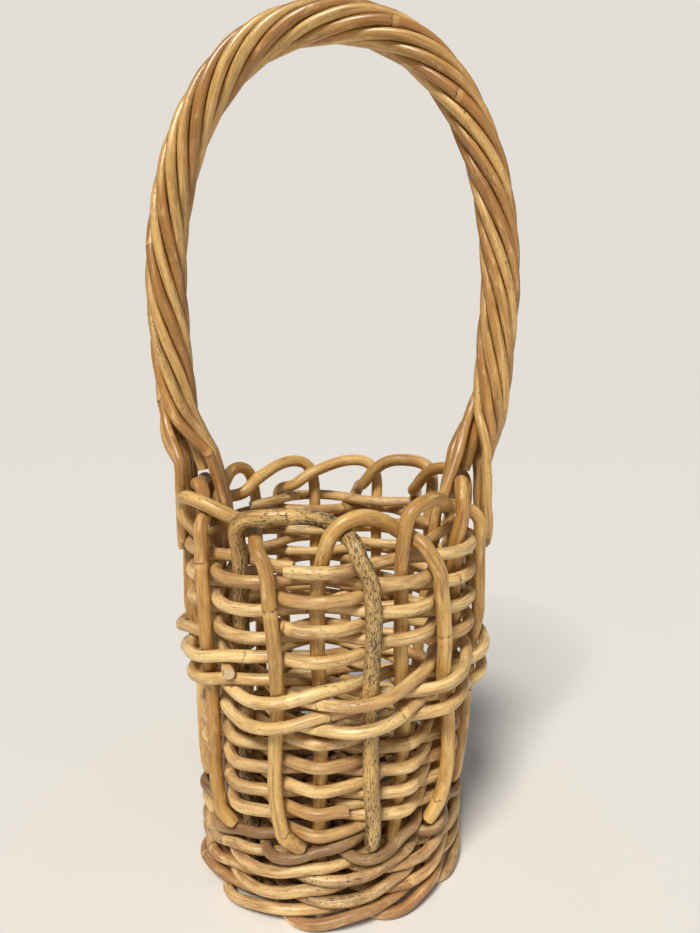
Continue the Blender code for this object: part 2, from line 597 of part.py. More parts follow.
def add_handle(basket):
    centre = handle_centre()
    radius = rope_radius(centre)
    backward = Vector((0.0, 1.0, 0.0))
    frames = []
    for index, point in enumerate(centre):
        along = (centre[min(index + 1, HANDLE_SEGMENTS)] - centre[max(index - 1, 0)]).normalized()
        back = (backward - along * backward.dot(along)).normalized()
        frames.append((point, along.cross(back), back))
    for number in range(HANDLE_ROD_COUNT):
        rope = []
        for index, (point, outward, back) in enumerate(frames):
            steps = number + HANDLE_TWIST_STEPS * index / HANDLE_SEGMENTS
            turn = 2 * math.pi * steps / HANDLE_ROD_COUNT
            rope.append(point + radius * (math.cos(turn) * outward + math.sin(turn) * back))
        half_count = HANDLE_ROD_COUNT // 2
        left_step = (number + half_count - 1) % HANDLE_ROD_COUNT - half_count + 1
        right_step = (number + HANDLE_TWIST_STEPS + half_count - 1) % HANDLE_ROD_COUNT - half_count + 1
        left_foot = handle_foot(-1, left_step)
        right_foot = handle_foot(1, right_step)
        points = [*reversed(left_foot), *rope, *right_foot]
        add_rod(f"handle_rod_{number + 1}", points, HANDLE_ROD_DIAMETER, HANDLE_COLOUR, basket,
                ROUND_RESOLUTION)
    turn_per_segment = 2 * math.pi * HANDLE_TWIST_STEPS / HANDLE_ROD_COUNT / HANDLE_SEGMENTS
    core_radius = radius * math.cos(turn_per_segment / 2) - HANDLE_ROD_DIAMETER / 2 - FIT_GAP
    landing = ARCH_HEIGHT + STAKE_RADIUS + FIT_GAP
    points = []
    for side in (-1, 1):
        end = [polar_point(side * math.pi / 2, UPPER_STAKE_RADIUS + FIT_GAP, height)
               for height in (landing, landing + core_radius)]
        points.append(end)
    core = [*points[0], *centre, *reversed(points[1])]
    add_rod("handle_core", core, 2 * core_radius, HANDLE_COLOUR, basket, ROUND_RESOLUTION)


def main():
    for item in list(bpy.data.objects):
        bpy.data.objects.remove(item, do_unlink=True)
    basket = new_collection("wine_bottle_basket")
    add_side(basket)
    add_wales(basket)
    add_base(basket)
    add_handle(basket)


main()
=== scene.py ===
"""Wine bottle basket: the look of a round carrier woven from whole rattan rods.

Every rod is swept along its own centre line by one Geometry Nodes tree, which gives it uneven
thickness, raised growth rings and cut ends. The sections follow the basket as it is put together:
stakes, lower weave, middle band, upper weave, foot, base, handle.
"""

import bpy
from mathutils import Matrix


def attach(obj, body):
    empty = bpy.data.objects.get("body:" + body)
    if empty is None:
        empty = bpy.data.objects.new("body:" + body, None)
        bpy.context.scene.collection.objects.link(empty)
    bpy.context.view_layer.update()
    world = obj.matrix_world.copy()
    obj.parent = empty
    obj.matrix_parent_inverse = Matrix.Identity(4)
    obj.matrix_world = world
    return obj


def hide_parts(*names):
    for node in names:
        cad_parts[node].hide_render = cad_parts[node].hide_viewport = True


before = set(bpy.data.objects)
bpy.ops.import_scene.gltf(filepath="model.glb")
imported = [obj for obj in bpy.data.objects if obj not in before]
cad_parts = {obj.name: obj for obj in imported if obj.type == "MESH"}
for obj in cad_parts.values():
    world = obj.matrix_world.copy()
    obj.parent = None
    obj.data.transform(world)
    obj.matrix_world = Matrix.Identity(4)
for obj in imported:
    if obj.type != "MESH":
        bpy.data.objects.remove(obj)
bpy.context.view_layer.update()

import math
from functools import partial

import bpy
import numpy
from mathutils import Vector
from mathutils.kdtree import KDTree


def add_object(name, data):
    """A new object of the scene."""
    made = bpy.data.objects.new(name, data)
    bpy.context.scene.collection.objects.link(made)
    return made


# The view: the photograph is taken from a little above the rim, close to the basket.
camera_data = bpy.data.cameras.new("view")
camera_data.sensor_width = 36.0
camera_data.lens = 27.45
camera_data.clip_start = 0.01
camera = add_object("view", camera_data)
camera.location = (0.0082, -0.3512, 0.2621)
camera.rotation_euler = (math.radians(90.0 - 9.75), 0.0, 0.0)
bpy.context.scene.camera = camera


# Stakes: eleven thick rods of whole rattan. Each rises inside the weave, bends over at the rim as
# an arch, passes inside the next stake and comes down outside the weave as an outer leg. The one
# to the left of the front stake is darkly mottled all along, down to the tip of its leg.
stake_count = 11
spacing = 2.0 * math.pi / stake_count
front_stake_turn = math.radians(-5.0)
stake_diameter = 0.0068
stake_circle_levels = (
    (0.0, 0.0586), (0.0342, 0.0586), (0.0620, 0.0612), (0.0946, 0.0612), (0.1131, 0.0622),
    (0.1310, 0.0652), (0.1700, 0.0652), (0.1760, 0.0661), (0.1820, 0.0671), (0.1900, 0.0675),
)
stake_leans = (-0.08, 0.03, 0.15, 0.05, -0.04, 0.06, 0.02, -0.06, 0.05, -0.03, -0.04)
lean_starts_below = 0.1310
lean_full_below = 0.0946
# Towards the foot the wall gets a little narrower from side to side and stands further left.
narrows_below = 0.110
narrows_over = 0.080
foot_narrowing = 0.028
foot_shift = 0.0020


def mix(start, end, share):
    return start + (end - start) * share


def soft_step(share):
    """A share between 0 and 1 that starts and stops gently."""
    share = min(max(share, 0.0), 1.0)
    return share * share * (3.0 - 2.0 * share)


def along_table(table, measure):
    """Read a table of (measure, value) pairs between its entries."""
    if measure <= table[0][0]:
        return table[0][1]
    for (low, low_value), (high, high_value) in zip(table, table[1:]):
        if measure <= high:
            return mix(low_value, high_value, (measure - low) / (high - low))
    return table[-1][1]


def wall_point(place, offset, height):
    """A point on the wall: whole places are stakes, halves are gaps, counted to the right."""
    first = math.floor(place)
    lean = mix(stake_leans[first % stake_count], stake_leans[(first + 1) % stake_count],
               place - first)
    share = (lean_starts_below - height) / (lean_starts_below - lean_full_below)
    angle = front_stake_turn + (place - 1.0 + lean * min(max(share, 0.0), 1.0)) * spacing
    radius = along_table(stake_circle_levels, height) + offset
    squeeze = soft_step((narrows_below - height) / narrows_over)
    across = radius * math.sin(angle) * (1.0 - foot_narrowing * squeeze) - foot_shift * squeeze
    return Vector((across, -radius * math.cos(angle), height))


def smooth_path(points, step):
    """A smooth centre line through the points, with a point about every step."""
    ends = [2 * points[0] - points[1], *points, 2 * points[-1] - points[-2]]
    path = []
    for before, start, end, after in zip(ends, ends[1:], ends[2:], ends[3:]):
        count = max(1, round((end - start).length / step))
        span = (end - start).length
        into = (end - before) * (span / ((end - start).length + (start - before).length))
        out = (after - start) * (span / ((after - end).length + (end - start).length))
        for number in range(count):
            t = number / count
            path.append(start * (2 * t ** 3 - 3 * t * t + 1) + into * (t ** 3 - 2 * t * t + t)
                        + end * (3 * t * t - 2 * t ** 3) + out * (t ** 3 - t * t))
    path.append(points[-1].copy())
    return path


def writers(tree):
    """The short forms that write one node tree, of a shader or of Geometry Nodes."""
    def node(kind, inputs=(), **settings):
        """A new node. Each input is a plain value, or the socket that feeds it."""
        made = tree.nodes.new(kind)
        for key, value in settings.items():
            setattr(made, key, value)
        for key, value in dict(inputs).items():
            if isinstance(value, bpy.types.NodeSocket):
                tree.links.new(value, made.inputs[key])
            else:
                made.inputs[key].default_value = value
        return made

    def sums(operation, *values):
        return node("ShaderNodeMath", enumerate(values), operation=operation).outputs[0]

    def eased(value, low, high, to_low=0.0, to_high=1.0):
        """A value carried smoothly from one range to another."""
        return node("ShaderNodeMapRange", enumerate((value, low, high, to_low, to_high)),
                    interpolation_type="SMOOTHSTEP").outputs[0]

    plain = (partial(sums, operation) for operation in ("MULTIPLY", "ADD", "SUBTRACT"))
    return node, sums, eased, *plain


def bent_rod_tree():
    """The Geometry Nodes tree that sweeps one rod of rattan along a chain of edges."""
    tree = bpy.data.node_groups.new("bent rattan rod", "GeometryNodeTree")
    node, sums, eased, times, plus, minus = writers(tree)

    def white_noise(place):
        return node("ShaderNodeTexWhiteNoise", {"W": place},
                    noise_dimensions="1D").outputs["Value"]

    def store(geometry, name, value, data_type="FLOAT", domain="POINT"):
        return node("GeometryNodeStoreNamedAttribute",
                    {"Geometry": geometry, "Name": name, "Value": value},
                    data_type=data_type, domain=domain).outputs[0]

    def stored(name, data_type="FLOAT"):
        return node("GeometryNodeInputNamedAttribute", {"Name": name},
                    data_type=data_type).outputs[0]

    tree.interface.new_socket("Geometry", in_out="OUTPUT", socket_type="NodeSocketGeometry")
    names = {}
    for name, kind in (("Centre Line", "Geometry"), ("Diameter", "Float"), ("Sides", "Int"),
                       ("Ring Spacing", "Float"), ("Ring Swell", "Float"), ("Unevenness", "Float"),
                       ("Tone", "Float"), ("Mottle", "Float"), ("Seed", "Int"),
                       ("Skin", "Material")):
        socket = tree.interface.new_socket(name, in_out="INPUT", socket_type="NodeSocket" + kind)
        names[name] = socket.identifier
    given = node("NodeGroupInput").outputs
    curve = node("GeometryNodeMeshToCurve", {"Mesh": given["Centre Line"]}).outputs[0]
    length = node("GeometryNodeSplineParameter").outputs["Length"]
    whole = node("GeometryNodeSplineLength").outputs["Length"]
    along = sums("MULTIPLY_ADD", given["Seed"], 0.617, length)
    # The growth rings stand at uneven steps along the rod.
    index = sums("FLOOR", sums("DIVIDE", along, given["Ring Spacing"]))
    shift = white_noise(sums("MULTIPLY_ADD", given["Seed"], 13.7, index))
    ring_step = plus(index, sums("MULTIPLY_ADD", shift, 0.7, 0.15))
    ring_gap = minus(along, times(ring_step, given["Ring Spacing"]))
    swell = eased(sums("ABSOLUTE", ring_gap), 0.0, 0.0042, 1.0, 0.0)
    wander = node("ShaderNodeTexNoise", {"W": times(along, 19.0), "Scale": 1.0, "Detail": 1.0},
                  noise_dimensions="1D").outputs[0]
    factor = sums("MULTIPLY_ADD", minus(wander, 0.5), times(given["Unevenness"], 2.0), 1.0)
    factor = sums("MULTIPLY_ADD", swell, given["Ring Swell"], factor)
    # Each length between two rings has a tone of its own.
    before_ring = sums("LESS_THAN", ring_gap, 0.0)
    length_tone = white_noise(sums("MULTIPLY_ADD", given["Seed"], 5.3, minus(index, before_ring)))
    own_tone = plus(given["Tone"], times(minus(length_tone, 0.5), 0.9))
    end_gap = sums("MINIMUM", length, minus(whole, length))
    factor = times(factor, eased(end_gap, 0.0, 0.0006, 0.86, 1.0))
    for name, value in (("along", along), ("ring_gap", ring_gap), ("tone", own_tone)):
        curve = store(curve, name, value)
    section = node("GeometryNodeCurvePrimitiveCircle", {
        "Resolution": given["Sides"], "Radius": times(given["Diameter"], 0.5)}).outputs[0]
    section = store(section, "section", node("GeometryNodeInputPosition").outputs[0],
                    "FLOAT_VECTOR")
    rod = node("GeometryNodeCurveToMesh", {"Curve": curve, "Profile Curve": section,
                                           "Scale": factor, "Fill Caps": True}).outputs[0]
    # Rod space is the rod laid straight: X along it, Y and Z across it.
    across = node("ShaderNodeSeparateXYZ", {0: stored("section", "FLOAT_VECTOR")}).outputs
    rod_space = node("ShaderNodeCombineXYZ", {0: stored("along"), 1: across[0], 2: across[1]})
    rod = store(rod, "rod_space", rod_space.outputs[0], "FLOAT_VECTOR")
    is_end = node("FunctionNodeCompare",
                  {2: node("GeometryNodeInputMeshFaceNeighbors").outputs[0], 3: 4},
                  data_type="INT", operation="GREATER_THAN").outputs[0]
    rod = store(rod, "cut_end", is_end, domain="FACE")
    rod = store(rod, "mottle", given["Mottle"])
    not_end = node("FunctionNodeBooleanMath", {0: is_end}, operation="NOT").outputs[0]
    rod = node("GeometryNodeSetShadeSmooth", {"Geometry": rod, "Shade Smooth": not_end}).outputs[0]
    rod = node("GeometryNodeSetMaterial", {"Geometry": rod, "Material": given["Skin"]}).outputs[0]
    rod = node("GeometryNodeRealizeInstances", {"Geometry": rod}).outputs[0]
    node("NodeGroupOutput", {0: rod})
    return tree, names


rod_tree, rod_inputs = bent_rod_tree()
laid_rods = []


def lay_rod(name, path, diameter, skin, node, sides=14, rings=0.11, swell=0.06,
            unevenness=0.04, tone=0.0, mottle=0.0, seed=1):
    """Make one rod along its centre line, and let it stand for its solid in the frame."""
    line = bpy.data.meshes.new(name + " centre line")
    line.from_pydata([tuple(point) for point in path],
                     [(number, number + 1) for number in range(len(path) - 1)], [])
    draft = add_object(name + " centre line", line)
    sweep = draft.modifiers.new("bent rattan rod", "NODES")
    sweep.node_group = rod_tree
    for key, value in (("Diameter", diameter), ("Sides", sides), ("Ring Spacing", rings),
                       ("Ring Swell", swell), ("Unevenness", unevenness), ("Tone", tone),
                       ("Mottle", mottle), ("Seed", seed), ("Skin", skin)):
        sweep[rod_inputs[key]] = value
    swept = draft.evaluated_get(bpy.context.evaluated_depsgraph_get())
    mesh = bpy.data.meshes.new_from_object(swept)
    mesh.name = name
    bpy.data.objects.remove(draft)
    bpy.data.meshes.remove(line)
    rod = add_object(name, mesh)
    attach(rod, "root")
    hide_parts(node)
    laid_rods.append((rod, sides))


weathered_olive = (0.36, 0.27, 0.13, 1.0)
fleck_brown = (0.030, 0.017, 0.010, 1.0)
ring_brown = (0.070, 0.036, 0.017, 1.0)
pore_brown = (0.36, 0.24, 0.13, 1.0)
pith_cream = (0.76, 0.60, 0.40, 1.0)
# The dark brown of the painted shade where rods touch one another, mixed with some grime.
contact_shade_and_grime_brown = (0.040, 0.020, 0.008, 1.0)


def rattan_skin(name, pale, warm, dark, stain, bleached, roughness, blotches=0.5, coat=0.0):
    """The skin of a peeled rattan rod: fibres along it, stains, flecks, growth rings, cut ends."""
    skin = bpy.data.materials.new(name)
    skin.use_nodes = True
    tree = skin.node_tree
    node, sums, eased, times, plus, minus = writers(tree)

    def read(attribute, output="Fac"):
        return node("ShaderNodeAttribute", attribute_name=attribute).outputs[output]

    def pattern(along, across, detail, roughness=0.5, shift=0.0):
        """Noise in rod space, with one scale along the rod and one across it."""
        place = node("ShaderNodeMapping", {
            "Vector": read("rod_space", "Vector"), "Location": (shift, shift, shift),
            "Scale": (along, across, across)}).outputs[0]
        return node("ShaderNodeTexNoise", {"Vector": place, "Scale": 1.0, "Detail": detail,
                                           "Roughness": roughness}).outputs[0]

    def tinted(base, colour, amount):
        return node("ShaderNodeMix", {0: amount, 6: base, 7: colour}, data_type="RGBA",
                    blend_type="MIX").outputs[2]

    tone = read("tone")
    mottle = read("mottle")
    ring_gap = read("ring_gap")
    fibres = pattern(50.0, 1350.0, 4.0, 0.62)
    streaks = pattern(24.0, 520.0, 3.0, 0.6, 2.3)
    broad = pattern(14.0, 90.0, 3.0, 0.6, 3.7)
    blush = pattern(30.0, 150.0, 4.0, 0.65, 9.1)
    blotch = pattern(95.0, 300.0, 4.0, 0.62, 12.7)
    colour = tinted((*pale, 1.0), (*warm, 1.0), eased(plus(broad, times(tone, 0.24)), 0.36, 0.64))
    for tint, cover, low, high, amount in (
            (stain, blush, 0.50, 0.70, 0.75), (stain, blotch, 0.50, 0.66, blotches),
            (bleached, blotch, 0.46, 0.30, 0.65), (dark, streaks, 0.50, 0.74, 0.50),
            (dark, fibres, 0.51, 0.72, 0.60), (pale, fibres, 0.45, 0.26, 0.40)):
        colour = tinted(colour, (*tint, 1.0), times(eased(cover, low, high), amount))
    # Dark flecks and dashes lie along the fibres, thickly on the mottled rods.
    dashes = pattern(520.0, 2000.0, 3.0, 0.70, 5.3)
    crowd = pattern(24.0, 190.0, 2.0, 0.5, 1.9)
    threshold = minus(0.665, times(mottle, sums("MULTIPLY_ADD", crowd, 0.26, 0.02)))
    threshold = minus(threshold, times(eased(crowd, 0.5, 0.7), 0.05))
    fleck = eased(minus(dashes, threshold), 0.0, 0.05)
    # The mottled rods are weathered to a greyish olive under their flecks.
    weather = eased(plus(crowd, times(fibres, 0.5)), 0.56, 0.98, 0.15, 0.85)
    colour = tinted(colour, weathered_olive, times(weather, mottle))
    colour = tinted(colour, fleck_brown, times(fleck, 0.88))
    # A growth ring is a thin broken dark line with a paler band on one side.
    wavy = plus(ring_gap, sums("MULTIPLY_ADD", pattern(4.0, 330.0, 3.0), 0.0052, -0.0026))
    line = eased(sums("ABSOLUTE", wavy), 0.00010, 0.00060, 1.0, 0.0)
    line = times(line, eased(pattern(9.0, 260.0, 2.0, 0.5, 7.7), 0.40, 0.58))
    band = eased(sums("ABSOLUTE", minus(wavy, 0.0018)), 0.0004, 0.0024, 1.0, 0.0)
    colour = tinted(colour, (*pale, 1.0), times(band, 0.50))
    colour = tinted(colour, ring_brown, times(line, 0.85))
    # A cut end shows the pale pith, full of small pores.
    pores = node("ShaderNodeTexVoronoi", {"Vector": read("rod_space", "Vector"),
                                          "Scale": 2600.0}).outputs["Distance"]
    pith = tinted(pore_brown, pith_cream, eased(pores, 0.16, 0.42))
    cut = read("cut_end")
    colour = tinted(colour, pith, cut)
    # Painted contact shade, mixed with some grime, darkens the skin where the rod touches its
    # neighbours.
    patchy = times(minus(streaks, 0.5), 0.5)
    colour = tinted(colour, contact_shade_and_grime_brown,
                    times(eased(plus(read("crevice"), patchy), 0.15, 1.0), 0.90))
    sheen = sums("MULTIPLY_ADD", fibres, 0.22, roughness - 0.11)
    sheen = sums("MULTIPLY_ADD", fleck, 0.15, sums("MAXIMUM", sheen, times(cut, 0.85)))
    relief = plus(times(fibres, 0.5), times(broad, 0.9))
    relief = minus(relief, times(plus(line, fleck), 0.5))
    bump = node("ShaderNodeBump", {"Strength": 0.55, "Distance": 0.0003, "Height": relief})
    shader = tree.nodes["Principled BSDF"].inputs
    for name, socket in (("Base Color", colour), ("Roughness", sheen),
                         ("Normal", bump.outputs[0])):
        tree.links.new(socket, shader[name])
    shader["Specular IOR Level"].default_value = 0.45
    if coat:
        shader["Coat Weight"].default_value = coat
        shader["Coat Roughness"].default_value = 0.28
    return skin


stake_skin = rattan_skin(
    "stake rattan", pale=(0.76, 0.475, 0.160), warm=(0.50, 0.260, 0.068), dark=(0.16, 0.070, 0.019),
    stain=(0.33, 0.155, 0.046), bleached=(0.84, 0.58, 0.24), roughness=0.38, blotches=0.35)
rising_heights = (0.0, 0.0005, 0.017, 0.0342, 0.048, 0.062, 0.078, 0.0946, 0.104, 0.1131, 0.122,
                  0.131, 0.145, 0.158)
below_arch = 0.170
leg_heights = (0.166, 0.158, 0.148, 0.138, 0.131, 0.122, 0.113, 0.104, 0.094, 0.082, 0.070, 0.058,
               0.050, 0.045)
leg_place = 1.5
leg_offset = 0.0077
leaning_leg_offset = 0.010
leg_tip_offset = 0.0070
leg_tip_height = 0.0382
# One row for each stake: thickness, tone, mottling, how far the rim pushes it outwards, and its
# leg's drift from the middle of its gap, in stake spacings, at the levels below.
drift_levels = (0.1780, 0.1650, 0.1480, 0.1330, 0.1130, 0.0900, 0.0700, 0.0530, 0.0450, 0.0)
stake_rods = (
    (1.06, -0.35, 1.00, 0.0, (-0.03, 0.06, 0.09, 0.08, 0.03, 0.01, 0.04, 0.085, 0.095, 0.10)),
    (0.98, -0.20, 0.08, 0.0, (-0.24, -0.16, -0.07, -0.02, 0.02, 0.12, 0.18, 0.17, 0.10, -0.02)),
    (0.94, -0.30, 0.12, 0.0, (-0.04, 0.00, 0.03, 0.04, 0.01, 0.00, 0.02, 0.04, 0.06, 0.10)),
    (0.97, -0.20, 0.05, 0.0, (-0.02, -0.02, -0.04, -0.02, 0.00, 0.02, 0.02, 0.00, 0.04, 0.08)),
    (0.95, 0.40, 0.10, 0.0, (0.02, 0.02, 0.04, 0.03, 0.00, -0.03, -0.04, 0.00, 0.02, 0.06)),
    (0.99, 0.00, 0.30, 0.0, (0.01, 0.00, 0.00, 0.02, 0.03, 0.03, 0.00, 0.04, 0.08, 0.12)),
    (0.94, 0.30, 0.05, 0.0, (0.03, 0.00, -0.03, -0.02, 0.00, -0.02, 0.00, 0.02, 0.03, 0.05)),
    (0.97, -0.10, 0.15, 0.0, (0.00, 0.00, 0.03, 0.04, 0.02, 0.03, 0.04, 0.06, 0.10, 0.13)),
    (0.95, 0.20, 0.05, 0.0, (0.00, 0.00, 0.02, 0.03, 0.00, 0.01, 0.02, 0.04, 0.06, 0.08)),
    (0.94, 0.85, 0.04, 0.0, (0.04, 0.04, 0.09, 0.14, 0.12, 0.12, 0.125, 0.18, 0.24, 0.40)),
    (0.94, 0.05, 0.30, 0.0075, (0.03, 0.005, 0.045, 0.09, 0.085, 0.045, 0.04, 0.085, 0.15, 0.36)),
)
# The arch, as (place after the stake, shift outwards, height). It ends in the top of the leg. Eight
# of the stakes are bent otherwise than the rest: flatter, steeper, leaning or lifted at the end.
common_arch = (
    (0.000, 0.0000, 0.1760), (0.008, 0.0000, 0.1820), (0.045, 0.0000, 0.1878),
    (0.130, -0.0002, 0.1922), (0.280, -0.0010, 0.1943), (0.480, -0.0028, 0.1943),
    (0.700, -0.0052, 0.1926), (0.900, -0.0072, 0.1903), (1.080, -0.0075, 0.1878),
    (1.210, -0.0074, 0.1850), (1.310, -0.0066, 0.1823), (1.385, -0.0040, 0.1804),
    (1.440, 0.0004, 0.1792), (1.475, 0.0046, 0.1775), (1.490, 0.0073, 0.1742),
)
own_arches = {
    0: (
        (0.000, 0.0000, 0.1760), (0.006, 0.0002, 0.1815), (0.065, 0.0006, 0.1860),
        (0.160, 0.0004, 0.1887), (0.300, -0.0006, 0.1899), (0.512, -0.0026, 0.1907),
        (0.760, -0.0054, 0.1908), (0.950, -0.0073, 0.1901), (1.080, -0.0082, 0.1888),
        (1.210, -0.0082, 0.1868), (1.310, -0.0064, 0.1847), (1.380, -0.0012, 0.1832),
        (1.430, 0.0042, 0.1812), (1.470, 0.0074, 0.1762),
    ),
    1: (
        (0.082, 0.0000, 0.1760), (0.148, 0.0002, 0.1834), (0.240, 0.0000, 0.1880),
        (0.350, -0.0008, 0.1905), (0.480, -0.0026, 0.1914), (0.620, -0.0050, 0.1905),
        (0.780, -0.0072, 0.1883), (0.920, -0.0078, 0.1859), (1.060, -0.0078, 0.1836),
        (1.200, -0.0064, 0.1817), (1.300, -0.0026, 0.1803), (1.370, 0.0022, 0.1788),
        (1.430, 0.0062, 0.1758),
    ),
    2: (
        (0.000, 0.0000, 0.1760), (0.004, 0.0000, 0.1832), (0.035, 0.0000, 0.1893),
        (0.130, -0.0002, 0.1934), (0.290, -0.0010, 0.1952), (0.500, -0.0030, 0.1951),
        (0.720, -0.0058, 0.1934), (0.930, -0.0075, 0.1907), (1.090, -0.0076, 0.1884),
        (1.220, -0.0060, 0.1868), (1.310, -0.0024, 0.1857), (1.380, 0.0022, 0.1842),
        (1.440, 0.0062, 0.1795), (1.470, 0.0075, 0.1740),
    ),
    3: (
        (0.000, 0.0006, 0.1760), (0.003, 0.0014, 0.1842), (0.022, 0.0008, 0.1912),
        (0.085, -0.0008, 0.1958), (0.210, -0.0024, 0.1978), (0.400, -0.0036, 0.1974),
        (0.650, -0.0052, 0.1948), (0.880, -0.0070, 0.1913), (1.060, -0.0076, 0.1885),
        (1.220, -0.0060, 0.1862), (1.310, -0.0022, 0.1850), (1.380, 0.0024, 0.1836),
        (1.440, 0.0062, 0.1795), (1.470, 0.0075, 0.1740),
    ),
    4: (
        (0.000, 0.0000, 0.1760), (0.006, 0.0000, 0.1840), (0.040, 0.0000, 0.1902),
        (0.120, -0.0002, 0.1942), (0.280, -0.0010, 0.1963), (0.500, -0.0030, 0.1968),
        (0.680, -0.0056, 0.1962), (0.820, -0.0072, 0.1944), (0.940, -0.0077, 0.1913),
        (1.040, -0.0077, 0.1880), (1.125, -0.0073, 0.1846), (1.210, -0.0064, 0.1818),
        (1.285, -0.0036, 0.1803), (1.350, 0.0014, 0.1794), (1.405, 0.0060, 0.1776),
        (1.440, 0.0079, 0.1736),
    ),
    5: (
        (0.000, 0.0000, 0.1760), (0.006, 0.0000, 0.1840), (0.040, 0.0000, 0.1902),
        (0.120, -0.0002, 0.1942), (0.280, -0.0010, 0.1963), (0.500, -0.0030, 0.1968),
        (0.680, -0.0056, 0.1962), (0.820, -0.0072, 0.1944), (0.940, -0.0077, 0.1913),
        (1.040, -0.0077, 0.1878), (1.120, -0.0072, 0.1842), (1.190, -0.0056, 0.1814),
        (1.250, -0.0018, 0.1798), (1.300, 0.0032, 0.1784), (1.340, 0.0066, 0.1752),
        (1.380, 0.0076, 0.1715),
    ),
    9: (
        (0.000, 0.0000, 0.1760), (0.008, 0.0000, 0.1840), (0.050, 0.0000, 0.1900),
        (0.150, -0.0003, 0.1940), (0.320, -0.0008, 0.1940), (0.550, -0.0012, 0.1946),
        (0.780, -0.0046, 0.1958), (1.000, -0.0088, 0.1966), (1.150, -0.0086, 0.1946),
        (1.300, -0.0070, 0.1906), (1.400, -0.0004, 0.1868), (1.470, 0.0048, 0.1834),
        (1.520, 0.0070, 0.1795), (1.530, 0.0076, 0.1740),
    ),
    10: (
        (0.000, -0.0038, 0.1760), (0.006, -0.0004, 0.1825), (0.040, 0.0000, 0.1890),
        (0.120, 0.0000, 0.1918), (0.260, -0.0004, 0.1936), (0.420, -0.0014, 0.1933),
        (0.560, -0.0030, 0.1915), (0.680, -0.0050, 0.1889), (0.790, -0.0072, 0.1866),
        (0.920, -0.0080, 0.1842), (1.020, -0.0080, 0.1824), (1.110, -0.0068, 0.1806),
        (1.200, -0.0030, 0.1792), (1.290, 0.0018, 0.1780), (1.372, 0.0058, 0.1762),
        (1.440, 0.0074, 0.1728),
    ),
}
drift_tables = [tuple(zip(drift_levels[::-1], drifts[::-1])) for *_, drifts in stake_rods]
for number, (girth, tone, mottle, push, _) in enumerate(stake_rods):
    drift = drift_tables[number]
    arch = own_arches.get(number, common_arch)
    route = [wall_point(number, 0.0, height) for height in rising_heights]
    route.append(wall_point(number + 0.6 * arch[0][0], 0.0, below_arch))
    # A stake that the rim pushes outwards takes with it the arch that ends beside it.
    next_push = stake_rods[(number + 1) % stake_count][3]
    for place, outward, height in arch:
        own_share = min(1.0, max(0.0, (0.95 - place) / 0.6))
        next_share = min(max(0.0, (place - 0.55) / 0.4), max(0.0, (1.43 - place) / 0.12), 1.0)
        slip = along_table(drift, drift_levels[0]) * max(0.0, place - 0.9) / 0.6
        offset = outward + push * own_share + next_push * next_share
        route.append(wall_point(number + place + slip, offset, height))
    for height in leg_heights:
        lean = along_table(drift, height)
        route.append(wall_point(number + leg_place + lean,
                                leg_offset + leaning_leg_offset * abs(lean), height))
    tip_lean = mix(along_table(drift, leg_heights[-1]), drift[0][1], 0.9)
    route.append(wall_point(number + leg_place + tip_lean, leg_tip_offset, leg_tip_height))
    lay_rod(f"arched_stake_{number + 1:02d}", smooth_path(route, 0.0022), stake_diameter * girth,
            stake_skin, f"stake_{number + 1:02d}", sides=20, rings=0.13, swell=0.07,
            unevenness=0.05, tone=tone, mottle=mottle, seed=31 + 7 * number)


# Lower weave: thinner rods of pale rattan, pressed hard against the stakes, so that each bends
# sharply where it passes one. They lie end to end in one spiral, and each stops in a cut end.
lower_diameter = 0.0055
lower_reach = 0.0061
lower_first_row = 0.04485
lower_pitch = 0.0057
lower_start = 1
lower_bend_share = 0.10
lower_drift = 0.0003
# One row for each rod: its two ends in steps of the spiral, its tone, and where each end lies.
lower_rods = ((-0.72, 22.33, 0.0, 0, 1), (22.19, 48.30, 0.3, -1, 1), (48.19, 74.30, -0.2, -1, 1),
              (74.19, 96.22, 0.1, -1, 0))
start_splice_length = 0.4
start_splice_offsets = (-0.0013, 0.0056)
end_splice_length = 0.3
end_splice_offsets = (-0.0005, 0.0043)


def woven(step, bend_share):
    """Offset share of a weaver: 1 outside the stakes of even steps, -1 inside the odd ones."""
    away = abs((step + 1.0) % 2.0 - 1.0)
    if away < bend_share:
        swing = 1.0 - bend_share - away * away / bend_share
    elif away > 1.0 - bend_share:
        swing = -(1.0 - bend_share - (1.0 - away) ** 2 / bend_share)
    else:
        swing = 1.0 - 2.0 * away
    return swing / (1.0 - bend_share)


def wobble(number, measure):
    """A small steady wandering between -1 and 1, different for each number."""
    return 0.5 * (math.sin(1.7 * measure + 2.1 * number) + math.sin(2.9 * measure + 5.3 * number))


def spliced(offset, side, limits):
    """Keep an end behind its neighbour (side -1), in front of it (1), or where it is (0)."""
    if side < 0:
        return min(offset, limits[0])
    if side > 0:
        return max(offset, limits[1])
    return offset


def weave_path(start, first, last, row, pitch, reach, bend_share, drift, start_side, end_side):
    """The centre line of one weaver between two steps of its spiral.

    A tucked start lies behind the end of the rod before it, whose own end is in front. The one
    rod that starts in front covers the tucked end of the rod before it.
    """
    count = max(2, round((last - first) * 18))
    path = []
    for index in range(count + 1):
        step = mix(first, last, index / count)
        height = row + step / stake_count * pitch + drift * wobble(start, step)
        offset = reach * woven(step, bend_share)
        if step - first < start_splice_length:
            offset = spliced(offset, start_side, start_splice_offsets)
        if last - step < end_splice_length:
            offset = spliced(offset, end_side, end_splice_offsets)
        path.append(wall_point(start + step, offset, height))
    return path


